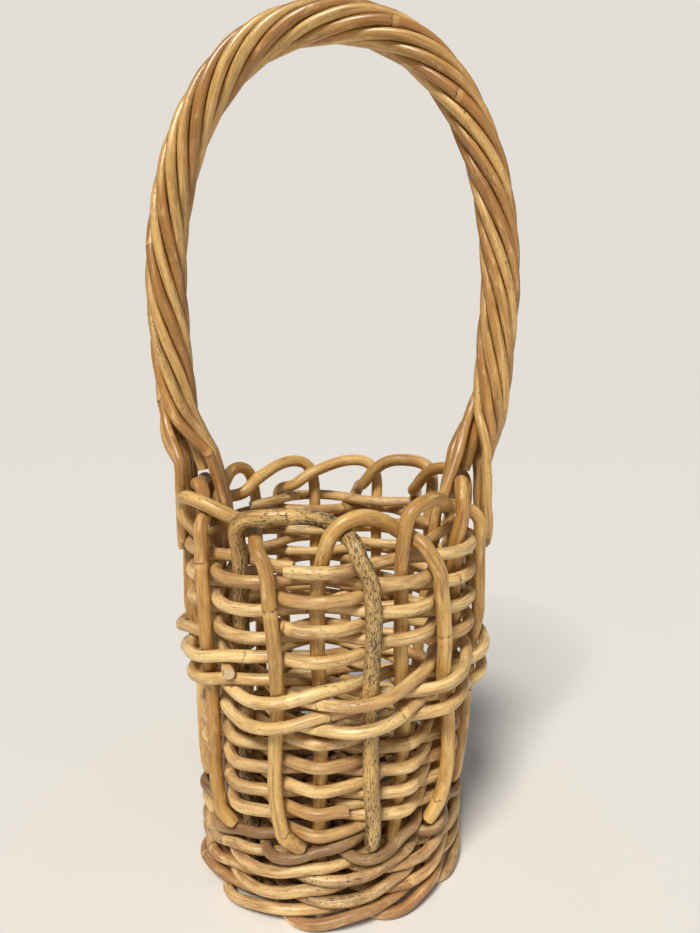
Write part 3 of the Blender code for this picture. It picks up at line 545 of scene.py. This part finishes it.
straw_skin = rattan_skin(
    "straw weaver rattan", pale=(0.82, 0.57, 0.25), warm=(0.54, 0.315, 0.112),
    dark=(0.18, 0.085, 0.030), stain=(0.33, 0.160, 0.070), bleached=(0.92, 0.71, 0.37),
    roughness=0.42, blotches=0.62)
for number, (first, last, tone, start_side, end_side) in enumerate(lower_rods):
    path = weave_path(lower_start, first, last, lower_first_row, lower_pitch, lower_reach,
                      lower_bend_share, lower_drift, start_side, end_side)
    lay_rod(f"lower_weaver_rod_{number + 1}", path, lower_diameter, straw_skin,
            f"lower_side_weaver_{number + 1}", rings=0.16, swell=0.05,
            unevenness=0.07, tone=tone, mottle=0.18, seed=101 + 9 * number)


# Upper weave: stouter straw-coloured rods in the same weave, bent in long easy curves, because
# they are stiffer. The top row is finished with a short rod, whose cut start is at the front.
upper_diameter = 0.0057
upper_reach = 0.0063
upper_first_row = 0.13105
upper_pitch = 0.00635
upper_start = 1
upper_bend_share = 0.42
upper_drift = 0.0004
upper_rods = ((0.61, 24.30, 0.1, 0, 1), (24.19, 46.30, -0.1, -1, 1), (46.19, 65.73, 0.2, -1, -1),
              (65.68, 73.22, -0.2, 1, 0))
for number, (first, last, tone, start_side, end_side) in enumerate(upper_rods):
    path = weave_path(upper_start, first, last, upper_first_row, upper_pitch, upper_reach,
                      upper_bend_share, upper_drift, start_side, end_side)
    lay_rod(f"upper_weaver_rod_{number + 1}", path, upper_diameter, straw_skin,
            f"upper_side_weaver_{number + 1}", rings=0.17, swell=0.06,
            unevenness=0.06, tone=tone, mottle=0.12, seed=211 + 9 * number)


# Middle band: three rods waled twice round. Each floats outside two stakes and the leg between
# them, climbs, and goes in behind the next leg, which ties the outer legs to the wall.
pattern_length = 3.0


def waved(stations, soften):
    """A repeating pattern of (place, offset, climb) made smooth, as tables read by place."""
    closed = [*stations, (pattern_length, *stations[0][1:])]
    samples = 240
    width = round(soften * samples / pattern_length)
    tables = []
    for column in (1, 2):
        measures = [(entry[0], entry[column]) for entry in closed]
        table = [along_table(measures, pattern_length * index / samples)
                 for index in range(samples)]
        for _ in range(2):
            table = [sum(table[(index + shift) % samples] for shift in range(-width, width + 1))
                     / (2 * width + 1) for index in range(samples)]
        tables.append(table)

    def read(place):
        measure = (place % pattern_length) / pattern_length * samples
        low = int(measure) % samples
        high = (low + 1) % samples
        return [mix(table[low], table[high], measure - int(measure)) for table in tables]

    return read


wale_tail = 0.32


def wale_path(pattern, start, floats, low, rise, turn_rise, drift):
    """The centre line of one waling rod, which comes out of the gap at start and floats on."""
    end = start + 3 * floats + 2
    count = round((end - start + 2 * wale_tail) * 15)
    path = []
    for index in range(count + 1):
        place = mix(start - wale_tail, end + wale_tail, index / count)
        offset, climb = pattern(place - start + 0.5)
        height = low + climb * rise + (place - start) / stake_count * turn_rise
        path.append(wall_point(place, offset, height + drift * wobble(start, place)))
    return path


band_diameter = 0.0056
band_rise = 0.0060
band_low_row = 0.0979
band_start = -1
band_drift = 0.0003
band_pattern = waved((
    (0.00, -0.0078, 0.50), (0.14, -0.0064, 0.36), (0.50, 0.0006, 0.0), (0.80, 0.0060, 0.0),
    (1.06, 0.0092, 0.0), (1.34, 0.0143, 0.06), (1.66, 0.0143, 0.32), (1.96, 0.0092, 0.92),
    (2.20, 0.0060, 1.0), (2.50, 0.0006, 1.0), (2.86, -0.0064, 0.64)), 0.10)
band_skin = rattan_skin(
    "middle band rattan", pale=(0.90, 0.65, 0.285), warm=(0.62, 0.375, 0.140),
    dark=(0.21, 0.105, 0.040), stain=(0.40, 0.205, 0.088), bleached=(0.97, 0.78, 0.42),
    roughness=0.38, coat=0.10)
band_rods = ((7, -0.2), (6, 0.1), (6, 0.0))
band_tail_points = 5
# The first rod doesn't end in the band: it crosses one more stake as the first row above it.
crossing_steps = (-0.46, -0.38, -0.30, -0.20, -0.10, 0.0, 0.10, 0.20, 0.30, 0.38, 0.46, 0.53, 0.58)
crossing_place = 23.5
crossing_heights = (0.1290, 0.13125)
# The last rod's end is pushed out again past the leg, as (step, offset, height), and its pale
# cut faces the front.
pushed_out_place = 20.5
pushed_out_end = (
    (-0.44, 0.0007, 0.1265), (-0.37, 0.0012, 0.1254), (-0.30, 0.0020, 0.1243),
    (-0.24, 0.0031, 0.1233), (-0.18, 0.0046, 0.1225), (-0.12, 0.0063, 0.1218),
    (-0.06, 0.0083, 0.1213), (0.00, 0.0101, 0.1210), (0.05, 0.0115, 0.1208),
    (0.085, 0.0125, 0.1207),
)
for number, (floats, tone) in enumerate(band_rods):
    start = band_start + 0.5 + number
    low = band_low_row + number / stake_count * 2 * band_rise
    path = wale_path(band_pattern, start, floats, low, band_rise, 2 * band_rise, band_drift)
    if number == 0:
        del path[-band_tail_points:]
        for step in crossing_steps:
            reach = 0.0062 if abs(step) < 0.5 else 0.0037
            height = mix(*crossing_heights, min(1.0, step + 0.5))
            path.append(wall_point(start + crossing_place + step,
                                   reach * math.cos(math.pi * step), height))
    if number == 2:
        del path[-band_tail_points:]
        for step, offset, height in pushed_out_end:
            path.append(wall_point(start + pushed_out_place + step, offset, height))
    lay_rod(f"band_rod_{number + 1}", path, band_diameter, band_skin,
            f"middle_wale_rod_{number + 1}", rings=0.15, swell=0.06, unevenness=0.06, tone=tone,
            mottle=0.2, seed=307 + 11 * number, sides=16)


# Foot: three rounds of waling. In each of them three straw to reddish rods go round together and
# grip the stakes, and the basket stands on the lowest round.
foot_diameter = 0.0050
foot_low_row = 0.0027
foot_rise = 0.00525
foot_drift = 0.0002
foot_pattern = waved((
    (0.00, -0.0076, 0.50), (0.16, -0.0060, 0.34), (0.50, 0.0002, 0.0), (0.82, 0.0060, 0.0),
    (1.08, 0.0086, 0.0), (1.34, 0.0098, 0.14), (1.60, 0.0099, 0.48), (1.86, 0.0082, 1.0),
    (2.12, 0.0064, 1.0), (2.50, 0.0002, 1.0), (2.84, -0.0060, 0.66)), 0.06)
lowest_pattern = waved((
    (0.00, -0.0076, 0.50), (0.16, -0.0060, 0.32), (0.50, 0.0006, 0.0), (0.70, 0.0086, 0.0),
    (0.90, 0.0113, 0.06), (1.10, 0.0114, 0.36), (1.35, 0.0110, 0.86), (1.60, 0.0100, 1.0),
    (1.90, 0.0069, 1.0), (2.10, 0.0058, 1.0), (2.30, 0.0030, 1.0), (2.50, 0.0002, 0.98),
    (2.84, -0.0060, 0.66)), 0.07)
foot_skin = rattan_skin(
    "foot rattan", pale=(0.76, 0.50, 0.215), warm=(0.44, 0.220, 0.080), dark=(0.14, 0.062, 0.025),
    stain=(0.28, 0.125, 0.055), bleached=(0.90, 0.68, 0.34), roughness=0.42, blotches=0.60)
# One row for each round: the place it starts at, and the floats, tone and mottling of its rods.
foot_rods = (
    (7, ((3, -0.3, 0.3), (3, 0.8, 0.1), (2, 1.2, 0.1))),
    (4, ((3, -0.4, 0.2), (3, 0.3, 0.5), (2, -0.2, 0.2))),
    (9, ((3, -0.8, 0.4), (3, -0.9, 0.2), (2, -0.7, 0.7))),
)
for level, (place, rods) in enumerate(foot_rods):
    for number, (floats, tone, mottle) in enumerate(rods):
        path = wale_path(lowest_pattern if level == 0 else foot_pattern, place + 0.5 + number,
                         floats, foot_low_row + 2 * foot_rise * level, foot_rise, 0.0, foot_drift)
        lay_rod(f"foot_rod_{level + 1}_{number + 1}", path, foot_diameter, foot_skin,
                f"foot_wale_{level + 1}_rod_{number + 1}", rings=0.12, swell=0.07,
                unevenness=0.07, tone=tone, mottle=mottle, seed=401 + 13 * (3 * level + number),
                sides=16)


# Foot edge: a pair of dark brown rods. Each comes out low, floats over a leg tip, which rests on
# it, climbs across the front of one stake and sinks behind the next.
pair_low_row = 0.0342
pair_diameter = 0.0050
pair_start = 6
pair_skin = rattan_skin(
    "dark foot rattan", pale=(0.43, 0.265, 0.118), warm=(0.25, 0.128, 0.052),
    dark=(0.095, 0.046, 0.020), stain=(0.20, 0.092, 0.042), bleached=(0.58, 0.40, 0.20),
    roughness=0.46, blotches=0.70)
pair_swing = (
    (-1.00, -0.0060, 0.50), (-0.84, -0.0046, 0.20), (-0.70, 0.0026, 0.04), (-0.56, 0.0086, 0.0),
    (-0.42, 0.0105, 0.0), (-0.24, 0.0096, 0.14), (0.00, 0.0062, 0.50), (0.22, 0.0055, 0.86),
    (0.40, 0.0030, 1.0), (0.58, -0.0016, 1.0), (0.80, -0.0052, 0.82),
)
for number in range(2):
    path = []
    for turn in range(-1, 7):
        for step, offset, climb in pair_swing:
            if -0.3 < step + 2 * turn < stake_count - 0.55 - number:
                path.append(wall_point(pair_start + number + step + 2 * turn, offset,
                                       pair_low_row + climb * foot_rise))
    path = smooth_path(path, 0.0024)
    lay_rod(f"foot_edge_rod_{number + 1}", path, pair_diameter, pair_skin,
            f"foot_pair_rod_{number + 1}", rings=0.12, swell=0.07, unevenness=0.07,
            tone=0.2 - 0.4 * number, mottle=0.15, seed=557 + 17 * number, sides=16)


# Base: two bundles of short sticks cross in the middle and fan out to the gaps of the wall, and
# one thin rod is woven round them. It is out of sight in the photograph, so it is kept plain.
base_stick_diameter = 0.0050
base_weaver_diameter = 0.0046
base_height = 0.0095
base_swing = 0.0050
base_last_row = 0.0468
base_pitch = 0.0050
base_turns = 4
base_first_row = base_last_row - base_turns * base_pitch
stick_end = 0.0532
stick_step = base_stick_diameter + 0.0005
bundle_half_length = 0.0086
base_skin = rattan_skin(
    "base rattan", pale=(0.52, 0.34, 0.17), warm=(0.34, 0.185, 0.085), dark=(0.14, 0.07, 0.036),
    stain=(0.25, 0.12, 0.065), bleached=(0.60, 0.42, 0.22), roughness=0.52)


def around(angle, radius, height):
    return Vector((radius * math.sin(angle), -radius * math.cos(angle), height))


def gap_angle(place):
    return front_stake_turn + (place - 0.5) * spacing


def base_stick(first_end, second_end, direction, side_step, layer):
    """A stick between two gaps of the wall; one without a second end stops in the middle."""
    along = around(direction, 1.0, 0.0)
    across = around(direction + math.pi / 2, side_step * stick_step, 0.0)
    middle = Vector((0.0, 0.0, base_height + layer * stick_step / 2)) + across
    route = [around(gap_angle(first_end), stick_end, base_height),
             around(gap_angle(first_end), base_first_row, base_height),
             middle + along * bundle_half_length, middle - along * bundle_half_length]
    if second_end is not None:
        route += [around(gap_angle(second_end), base_first_row, base_height),
                  around(gap_angle(second_end), stick_end, base_height)]
    return smooth_path(route, 0.003)


# One row for each whole stick: its two gaps, the gap it points at, its step aside and its layer.
base_sticks = ((0, 7, 1.0, -1.0, 1), (1, 6, 1.0, 0.0, 1), (2, 5, 1.0, 1.0, 1),
               (3, 10, 3.5, -0.5, -1), (4, 9, 3.5, 0.5, -1))
for number, (near, far, middle_place, side_step, layer) in enumerate(base_sticks):
    path = base_stick(near, far, gap_angle(middle_place), side_step, layer)
    lay_rod(f"crossing_stick_{number + 1}", path, base_stick_diameter, base_skin,
            f"base_stick_{number + 1}", rings=0.12, tone=0.1 * number, seed=701 + 5 * number)
path = base_stick(8, None, gap_angle(3.5) + math.pi, -1.5, -1)
lay_rod("half_stick", path, base_stick_diameter, base_skin, "base_half_stick_6",
        seed=751)
path = []
for index in range(base_turns * stake_count * 12 + 1):
    step = index / 12
    radius = base_last_row - (base_turns - step / stake_count) * base_pitch
    path.append(around(gap_angle(step), radius,
                       base_height + base_swing * math.cos(math.pi * step)))
lay_rod("base_weaver_rod", path, base_weaver_diameter, base_skin, "base_weaver",
        rings=0.15, tone=-0.2, seed=761, sides=12)


# Handle: eight long rods twisted as a rope round a stiff core rod. On each side five of them come
# down outside the weave and three go down inside the rim, where their ends are wedged.
handle_top = 0.4108
handle_widest = 0.2850
handle_half_width = 0.0814
handle_foot_height = 0.2060
# Half the width between the feet at each height, on the left and on the right.
handle_narrowing = (
    ((0.206, 0.0712), (0.214, 0.0738), (0.224, 0.0763), (0.236, 0.0778), (0.245, 0.0785),
     (0.262, 0.0800), (0.285, 0.0814)),
    ((0.206, 0.0708), (0.214, 0.0738), (0.224, 0.0765), (0.236, 0.0781), (0.245, 0.0789),
     (0.262, 0.0800), (0.285, 0.0814)),
)
handle_lean = 0.0116
handle_lean_from = 0.1773
handle_roundness = 2.2
handle_twist_steps = 26
handle_stations = 156
handle_skin = rattan_skin(
    "handle rattan", pale=(0.72, 0.435, 0.140), warm=(0.42, 0.190, 0.046),
    dark=(0.15, 0.060, 0.015), stain=(0.28, 0.118, 0.034), bleached=(0.82, 0.57, 0.25),
    roughness=0.32, blotches=0.30, coat=0.25)


def handle_line():
    """The handle's centre line from the left foot over the top to the right one."""
    def leaning(x, z):
        lean_share = (z - handle_lean_from) / (handle_top - handle_lean_from)
        return Vector((x, handle_lean * lean_share, z))

    halves = []
    for side, narrowing in zip((-1, 1), handle_narrowing):
        half = []
        for index in range(60):
            height = mix(handle_foot_height, handle_widest, index / 60)
            half.append(leaning(side * along_table(narrowing, height), height))
        for index in range(60):
            turn = math.pi / 2 * index / 60
            across = side * handle_half_width * math.cos(turn) ** (2 / handle_roundness)
            height = mix(handle_widest, handle_top, math.sin(turn) ** (2 / handle_roundness))
            half.append(leaning(across, height))
        halves.append(half)
    dense = [*halves[0], leaning(0.0, handle_top), *reversed(halves[1])]
    lengths = [0.0]
    for start, end in zip(dense, dense[1:]):
        lengths.append(lengths[-1] + (end - start).length)
    line = []
    for station in range(handle_stations + 1):
        target = lengths[-1] * station / handle_stations
        low = max(index for index in range(len(dense) - 1) if lengths[index] <= target)
        share = (target - lengths[low]) / (lengths[low + 1] - lengths[low])
        line.append(dense[low].lerp(dense[low + 1], min(share, 1.0)))
    return line


left_fan = (-0.170, -0.100, 0.100, 0.172, 0.244)
right_fan_step = 0.073
outer_tucks = (0.45, 0.80, 1.0, 0.70, 0.35)
outer_tuck_depth = 0.014
inner_tucks = (0.4, 0.6, 0.8)
inner_tuck_depth = 0.012
inner_fan_step = 0.105
# The one short end at the right, as (turn round the basket in degrees, radius, height), lies
# along the inside of the rim.
short_end = ((88.5, 0.0556, 0.190), (86.5, 0.0572, 0.1808), (81.0, 0.0584, 0.1768),
             (71.0, 0.0568, 0.1742), (60.4, 0.0522, 0.1712))


def handle_foot(side, turn_step):
    """One rod below the rope, from the rim down; turn step 0 is the outermost rod."""
    if abs(turn_step) <= 2:
        if side < 0:
            angle = front_stake_turn - 2.5 * spacing - left_fan[turn_step + 2]
            spread = 0.0008
        else:
            angle = front_stake_turn + 3.0 * spacing + right_fan_step * turn_step - 0.035
            spread = 0.0026
        tip = 0.174 - outer_tucks[turn_step + 2] * outer_tuck_depth
        return [around(angle, radius, height) for radius, height in
                ((0.0748 + 0.4 * spread, 0.196), (0.0745 + 0.6 * spread, 0.184),
                 (0.0743 + spread, 0.176), (0.0742 + spread, tip))]
    inner_step = turn_step - 4 if turn_step > 0 else turn_step + 4
    if side > 0 and inner_step == -1:
        return [around(math.radians(angle), radius, height) for angle, radius, height in short_end]
    aside, lean_in = (0.20, 0.0022) if side > 0 else (0.05, 0.0)
    angle = side * (math.pi / 2 - inner_step * inner_fan_step - aside)
    tip = 0.172 - inner_tucks[inner_step + 1] * inner_tuck_depth
    return [around(angle, radius, height) for radius, height in
            ((0.0554, 0.1895), (0.0540 - lean_in, 0.181), (0.0532 - lean_in, tip))]


line = handle_line()
frames = []
for index, point in enumerate(line):
    along = (line[min(index + 1, handle_stations)] - line[max(index - 1, 0)]).normalized()
    back = (Vector((0.0, 1.0, 0.0)) - along * along.y).normalized()
    frames.append((point, along.cross(back), back))
rope_radii = (0.00745, 0.00690)
inner_radius_below = 0.06
handle_rods = ((0.0053, 0.0, 0.1), (0.0050, -0.8, 0.2), (0.0054, 0.4, 0.1), (0.0051, 0.1, 0.2),
               (0.0051, -0.4, 0.3), (0.0053, 0.5, 0.1), (0.0050, 0.2, 0.2), (0.0052, -0.1, 0.1))
turn_apart = 2.0 * math.pi / len(handle_rods)
for number, (thickness, tone, mottle) in enumerate(handle_rods):
    left_foot = handle_foot(-1, (number + 3) % 8 - 3)
    right_foot = handle_foot(1, (number + handle_twist_steps + 3) % 8 - 3)
    rope = []
    for index, (point, outward, back) in enumerate(frames):
        share = index / handle_stations
        turn = turn_apart * (number + handle_twist_steps * share)
        reach = mix(*rope_radii, share) * (1.0 - 0.10 * (2.0 * share - 1.0) ** 8)
        # Near the rim the rods leave the rope little by little, each round to its own foot.
        side, foot, end = (-1, left_foot, 0) if share < 0.5 else (1, right_foot, handle_stations)
        if math.hypot(foot[0].x, foot[0].y) < inner_radius_below:
            leaving_over = 0.052 + 0.010 * side
            leaving = max((0.235 + 0.004 * side - point.z) / leaving_over, 0.0) ** 1.2
        else:
            leaving = soft_step((0.230 - point.z) / 0.030)
        out, aside = side * (foot[0].x - line[end].x), foot[0].y - line[end].y
        last_turn = turn_apart * (number + handle_twist_steps * end / handle_stations)
        way_round = (math.atan2(aside, out) - last_turn + math.pi) % (2.0 * math.pi) - math.pi
        turn = mix(turn, last_turn + way_round, leaving)
        reach = mix(reach, math.hypot(out, aside), leaving)
        rope.append(point + reach * (math.cos(turn) * outward + math.sin(turn) * back))
    route = [*reversed(left_foot), *rope, *right_foot]
    lay_rod(f"twisted_rod_{number + 1}", smooth_path(route, 0.0022), thickness, handle_skin,
            f"handle_rod_{number + 1}", rings=0.31, swell=0.05, unevenness=0.06,
            tone=tone, mottle=mottle, seed=811 + 19 * number, sides=16)
core_foot = [Vector(point) for point in
             ((0.0652, 0.0010, 0.200), (0.0672, 0.0016, 0.208), (0.0708, 0.0020, 0.218),
              (0.0746, 0.0025, 0.228))]
core_bare_below = 0.237
core = [*(Vector((-point.x, point.y, point.z)) for point in core_foot),
        *(point for point in line if point.z > core_bare_below), *reversed(core_foot)]
lay_rod("handle_core_rod", smooth_path(core, 0.004), 0.0070, handle_skin,
        "handle_core", rings=0.2, tone=-0.2, seed=991)


# Contact shade and grime: where the rods touch one another the skins are darkened, as painted shade
# in the hollows mixed with some dust and old varnish. Each ring of each rod is measured against the
# rods near it, and the skins darken there.
contact_shade_search = 0.0085
contact_shade_gap = 0.0016
own_rings_skipped = 9
rings_of = []
for rod, sides in laid_rods:
    coordinates = numpy.empty(3 * len(rod.data.vertices))
    rod.data.vertices.foreach_get("co", coordinates)
    rings_of.append(coordinates.reshape(-1, sides, 3))
centres = [rings.mean(axis=1) for rings in rings_of]
girths = [numpy.linalg.norm(rings - middle[:, None], axis=2).mean(axis=1)
          for rings, middle in zip(rings_of, centres)]
owners = numpy.concatenate([numpy.full(len(middle), number)
                            for number, middle in enumerate(centres)])
places = numpy.concatenate([numpy.arange(len(middle)) for middle in centres])
middles = numpy.concatenate(centres)
thicknesses = numpy.concatenate(girths)
nearby = KDTree(len(middles))
for index, middle in enumerate(middles):
    nearby.insert(middle, index)
nearby.balance()
for number, (rod, sides) in enumerate(laid_rods):
    crevice = numpy.zeros(rings_of[number].shape[:2])
    for place, middle in enumerate(centres[number]):
        found = numpy.array([index for _, index, _ in nearby.find_range(middle, contact_shade_search)])
        far_along = abs(places[found] - place) > own_rings_skipped
        found = found[(owners[found] != number) | far_along]
        if len(found):
            reaches = rings_of[number][place][:, None] - middles[found][None]
            gaps = (numpy.linalg.norm(reaches, axis=2) - thicknesses[found]).min(axis=1)
            crevice[place] = numpy.clip(1.0 - gaps / contact_shade_gap, 0.0, 1.0) ** 1.5
    contact_shade_and_grime = rod.data.attributes.new("crevice", "FLOAT", "POINT")
    contact_shade_and_grime.data.foreach_set("value", crevice.ravel())


# Floor and light: a plain pale table stands under a soft studio light. The camera sees the world
# in the table's own colour, and the basket is lit by a weak even glow and two lamps.
floor_mesh = bpy.data.meshes.new("table top")
floor_mesh.from_pydata([(-6.0, -6.0, 0.0), (6.0, -6.0, 0.0), (6.0, 6.0, 0.0), (-6.0, 6.0, 0.0)],
                       [], [(0, 1, 2, 3)])
table_top = add_object("table_top", floor_mesh)
table_skin = bpy.data.materials.new("pale table")
table_skin.use_nodes = True
table_shader = table_skin.node_tree.nodes["Principled BSDF"]
table_shader.inputs["Base Color"].default_value = (0.80, 0.79, 0.77, 1.0)
table_shader.inputs["Roughness"].default_value = 0.7
floor_mesh.materials.append(table_skin)

studio = bpy.data.worlds.new("studio")
bpy.context.scene.world = studio
studio.use_nodes = True
sky = studio.node_tree
sky_node = writers(sky)[0]
room_glow = sky.nodes["Background"]
room_glow.inputs["Color"].default_value = (0.93, 0.96, 1.0, 1.0)
room_glow.inputs["Strength"].default_value = 0.17
backdrop = sky_node("ShaderNodeBackground", {"Color": (0.768, 0.733, 0.669, 1.0)})
seen = sky_node("ShaderNodeLightPath").outputs["Is Camera Ray"]
chooser = sky_node("ShaderNodeMixShader",
                   {0: seen, 1: room_glow.outputs[0], 2: backdrop.outputs[0]})
sky.links.new(chooser.outputs[0], sky.nodes["World Output"].inputs["Surface"])


def add_sun(name, place, strength, spread, colour):
    """A far soft lamp that shines from a place towards the middle of the table."""
    data = bpy.data.lights.new(name, "SUN")
    data.energy = strength
    data.angle = math.radians(spread)
    data.color = colour
    lamp = add_object(name, data)
    lamp.rotation_euler = (-Vector(place)).to_track_quat("-Z", "Y").to_euler()


add_sun("key", (-0.30, -0.80, 1.15), 3.3, 16.0, (1.0, 0.95, 0.86))
add_sun("fill", (0.9, -0.9, 0.5), 0.35, 60.0, (0.97, 0.98, 1.0))
bpy.context.scene.view_settings.view_transform = "Standard"
